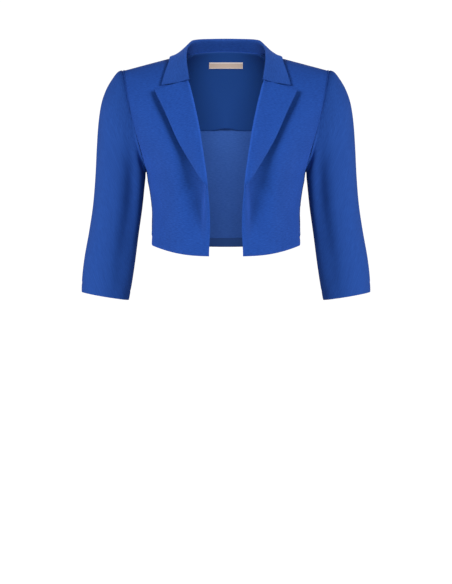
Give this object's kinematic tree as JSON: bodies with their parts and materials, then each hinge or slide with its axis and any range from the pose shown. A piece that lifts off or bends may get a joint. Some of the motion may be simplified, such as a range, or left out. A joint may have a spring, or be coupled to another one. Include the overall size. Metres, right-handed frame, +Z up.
{
  "type": "spencer jacket",
  "caption": "Cropped open-front jacket with notched lapels, a rolled collar and three-quarter sleeves, filled out hollow as if worn.",
  "frame": {"origin": "middle of the shoulder line, in the plane of the side and shoulder seams, 6.5 mm under the neck end of the shoulder seams, where the wearer's shoulders hold the jacket", "axes": "+Z up, the front faces -Y, +X towards the wearer's left"},
  "size_m": [0.5386, 0.2199, 0.4905],
  "materials": {
    "crepe": "matte royal-blue crepe",
    "crepe_inside": "wrong side of the crepe, a little greyer",
    "label": "plain woven label, beige"
  },
  "bodies": {
    "root": {"back": "crepe", "front_left": "crepe", "front_right": "crepe", "lapel_left": "crepe", "lapel_right": "crepe", "collar": "crepe", "sleeve_left": "crepe", "sleeve_right": "crepe", "back_facing": "crepe_inside", "back_hem": "crepe_inside", "label": "label"}
  },
  "joints": []
}
